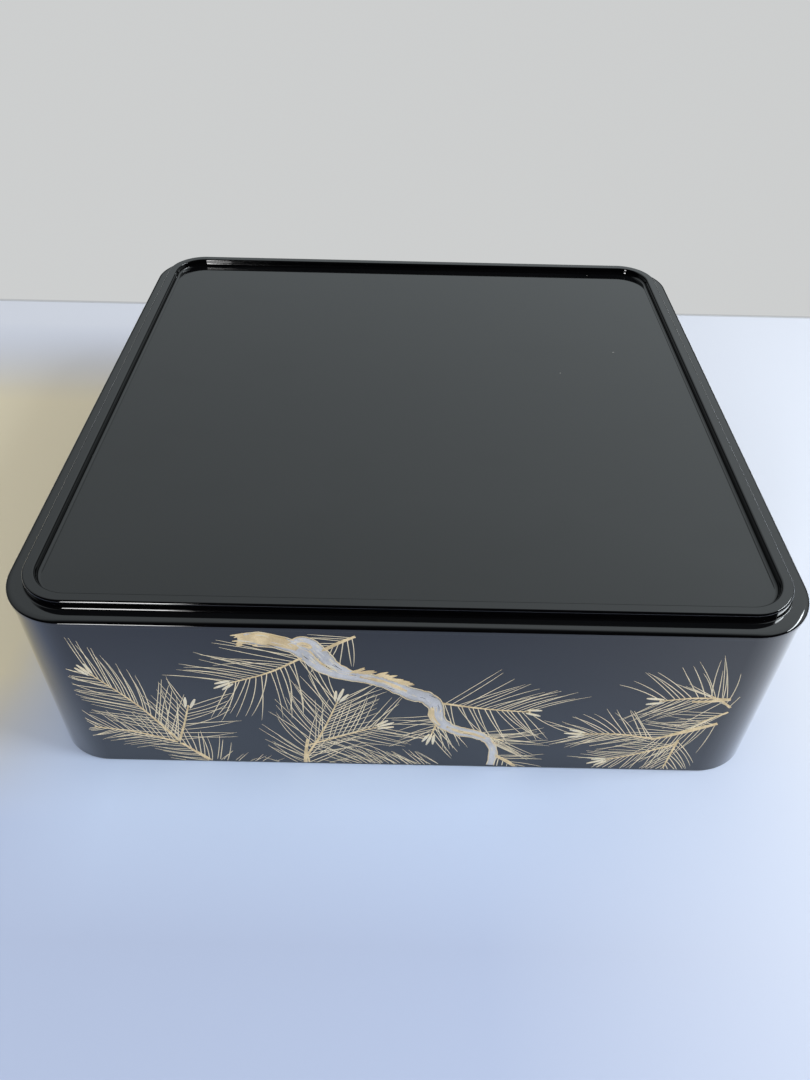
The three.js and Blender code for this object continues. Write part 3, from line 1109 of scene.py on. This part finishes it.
def light_world(scene, settings):
    """Even light all round. Polished pieces mirror a pale wall behind the box instead, which
    grows brighter upwards, and a dim room overhead and in front."""
    world = bpy.data.worlds.new("soft_room")
    world.use_nodes = True
    tree = world.node_tree

    def glow(colour):
        return new_node(tree, "ShaderNodeBackground", {"Color": colour, "Strength": 1.0}).outputs[0]

    def blend(share, a, b):
        return new_node(tree, "ShaderNodeMixShader", {0: share, 1: a, 2: b}).outputs[0]

    ray = new_node(tree, "ShaderNodeLightPath")
    direction = new_node(tree, "ShaderNodeTexCoord").outputs["Generated"]
    axes = new_node(tree, "ShaderNodeSeparateXYZ", {"Vector": direction})
    height = remap(tree, axes.outputs["Z"], 0.38, 0.64, 0.80, 1.30)
    above_sill = remap(tree, axes.outputs["Z"], 0.20, 0.34, 0.05, 1.0)
    side = remap(tree, axes.outputs["X"], -0.8, 0.5, 0.50, 1.13)
    below_ceiling = remap(tree, axes.outputs["Z"], 0.84, 0.94, 1.0, 0.0)
    behind = remap(tree, axes.outputs["Y"], -0.1, 0.15, 0.0, 1.0)
    level = multiply(tree, above_sill, multiply(tree, height, side))
    wall = {"Color": settings.mirrored, "Value": level}
    pale = new_node(tree, "ShaderNodeHueSaturation", wall)
    room = mix(tree, multiply(tree, below_ceiling, behind), DARK_CEILING, pale.outputs[0])
    polished = blend(ray.outputs["Is Glossy Ray"], glow(settings.sky), glow(room))
    whole = blend(ray.outputs["Is Camera Ray"], polished, glow(settings.backdrop))
    tree.links.new(whole, tree.nodes["World Output"].inputs["Surface"])
    scene.world = world


def add_lamp(name, place, target, size, power, colour, on_surfaces=True, in_mirrors=True):
    """A soft rectangular lamp turned to a target. It may light surfaces, or show in polished
    pieces, or do both."""
    data = bpy.data.lights.new(name, "AREA")
    data.shape = "RECTANGLE"
    data.size, data.size_y = size
    data.energy = power
    data.color = colour
    lamp = bpy.data.objects.new(name, data)
    lamp.location = place
    lamp.rotation_euler = (Vector(target) - Vector(place)).to_track_quat("-Z", "Y").to_euler()
    lamp.visible_diffuse = on_surfaces
    lamp.visible_glossy = in_mirrors
    bpy.context.scene.collection.objects.link(lamp)


def add_camera(scene, settings):
    """A camera just above the front edge, looking down on the box."""
    yaw, pitch, roll = settings.camera_yaw, settings.camera_pitch, settings.camera_roll
    ahead = Vector((math.sin(yaw) * math.cos(pitch), math.cos(yaw) * math.cos(pitch), -math.sin(pitch)))
    level = Vector((math.cos(yaw), -math.sin(yaw), 0))
    upwards = level.cross(ahead)
    right = level * math.cos(roll) + upwards * math.sin(roll)
    top = upwards * math.cos(roll) - level * math.sin(roll)
    data = bpy.data.cameras.new("camera")
    data.sensor_width = 36
    data.lens = settings.camera_lens
    data.clip_start = 0.01
    camera = bpy.data.objects.new("camera", data)
    turned = Matrix((right, top, -ahead)).transposed()
    camera.matrix_world = Matrix.Translation(settings.camera_place) @ turned.to_4x4()
    scene.collection.objects.link(camera)
    scene.camera = camera


class FOODBOX_PT_panel(bpy.types.Panel):
    """The food box's pieces and settings"""

    bl_idname = "FOODBOX_PT_panel"
    bl_label = "Food Box"
    bl_space_type = "VIEW_3D"
    bl_region_type = "UI"
    bl_category = "Food Box"

    def draw(self, context):
        scene = context.scene
        for operator in OPERATORS:
            self.layout.operator(operator.bl_idname)
        for group in (scene.food_box_lacquer, scene.food_box_branch, scene.food_box_stage):
            box = self.layout.box()
            for name in group.__annotations__:
                box.prop(group, name)


OPERATORS = (FOODBOX_OT_tier, FOODBOX_OT_lid, FOODBOX_OT_joinery, FOODBOX_OT_branch, FOODBOX_OT_stage)
CLASSES = (LacquerSettings, BranchSettings, StageSettings, *OPERATORS, FOODBOX_PT_panel)


def register():
    """Registers the classes, and keeps their settings in the scene."""
    for cls in CLASSES:
        bpy.utils.register_class(cls)
    bpy.types.Scene.food_box_lacquer = PointerProperty(type=LacquerSettings)
    bpy.types.Scene.food_box_branch = PointerProperty(type=BranchSettings)
    bpy.types.Scene.food_box_stage = PointerProperty(type=StageSettings)


def unregister():
    """Takes the settings and the classes away again."""
    del bpy.types.Scene.food_box_stage
    del bpy.types.Scene.food_box_branch
    del bpy.types.Scene.food_box_lacquer
    for cls in reversed(CLASSES):
        bpy.utils.unregister_class(cls)


def main():
    """Makes every piece."""
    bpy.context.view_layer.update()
    register()
    bpy.ops.foodbox.tier()
    bpy.ops.foodbox.lid()
    bpy.ops.foodbox.joinery()
    bpy.ops.foodbox.branch()
    bpy.ops.foodbox.stage()


if __name__ == "__main__":
    main()
